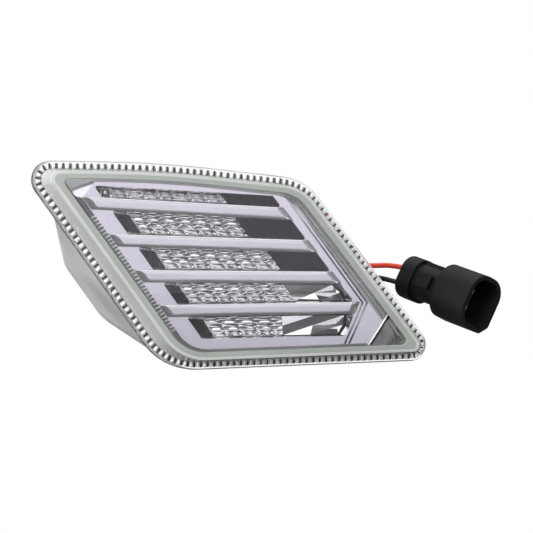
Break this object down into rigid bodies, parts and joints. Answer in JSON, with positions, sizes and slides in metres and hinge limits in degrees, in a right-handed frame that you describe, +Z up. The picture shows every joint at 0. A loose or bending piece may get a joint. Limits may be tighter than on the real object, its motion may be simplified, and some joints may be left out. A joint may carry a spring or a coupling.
{
  "type": "scooter indicator",
  "caption": "Clear rhomboid scooter indicator with a slatted bright bezel, pillow reflector, rear threaded boss and a wired sealed connector.",
  "frame": {"origin": "mouth centre of the threaded insert in the rear boss", "axes": "+Y out of the boss towards the back, +X right seen from the front of the lens, +Z up"},
  "size_m": [0.1681, 0.0542, 0.0682],
  "materials": {
    "clear_lens": "clear moulded polycarbonate",
    "grey_housing": "fine moulded texture",
    "bright_bezel": "vacuum-plated, satin bright",
    "bright_reflector": "vacuum-plated, mirror bright",
    "board": "solder mask",
    "lamp": "clear resin",
    "chip": "moulded",
    "can": "bright",
    "screw_steel": "zinc plated",
    "insert_brass": "turned",
    "vent_rubber": "matte",
    "grommet_rubber": "matte",
    "red_insulation": "extruded",
    "black_insulation": "extruded",
    "plug_black": "fine moulded texture",
    "lock_plastic": "moulded",
    "pin_tin": "tin plated",
    "seal_rubber": "silicone"
  },
  "bodies": {
    "root": {"lens": "clear_lens", "housing": "grey_housing", "bezel": "bright_bezel", "reflector": "bright_reflector", "circuit_board": "board", "driver_chip": "chip", "diode": "chip", "resistor_1": "chip", "resistor_2": "chip", "capacitor": "can", "board_screw_1": "screw_steel", "board_screw_2": "screw_steel", "mount_insert": "insert_brass", "vent_plug": "vent_rubber", "wire_grommet": "grommet_rubber", "red_wire": "red_insulation", "black_wire": "black_insulation", "connector_shell": "plug_black", "terminal_lock": "lock_plastic", "positive_pin": "pin_tin", "negative_pin": "pin_tin", "red_wire_seal": "seal_rubber", "black_wire_seal": "seal_rubber", "led_1": "lamp", "led_2": "lamp", "led_3": "lamp", "led_4": "lamp", "led_5": "lamp", "led_6": "lamp", "led_7": "lamp", "led_8": "lamp"}
  },
  "joints": []
}
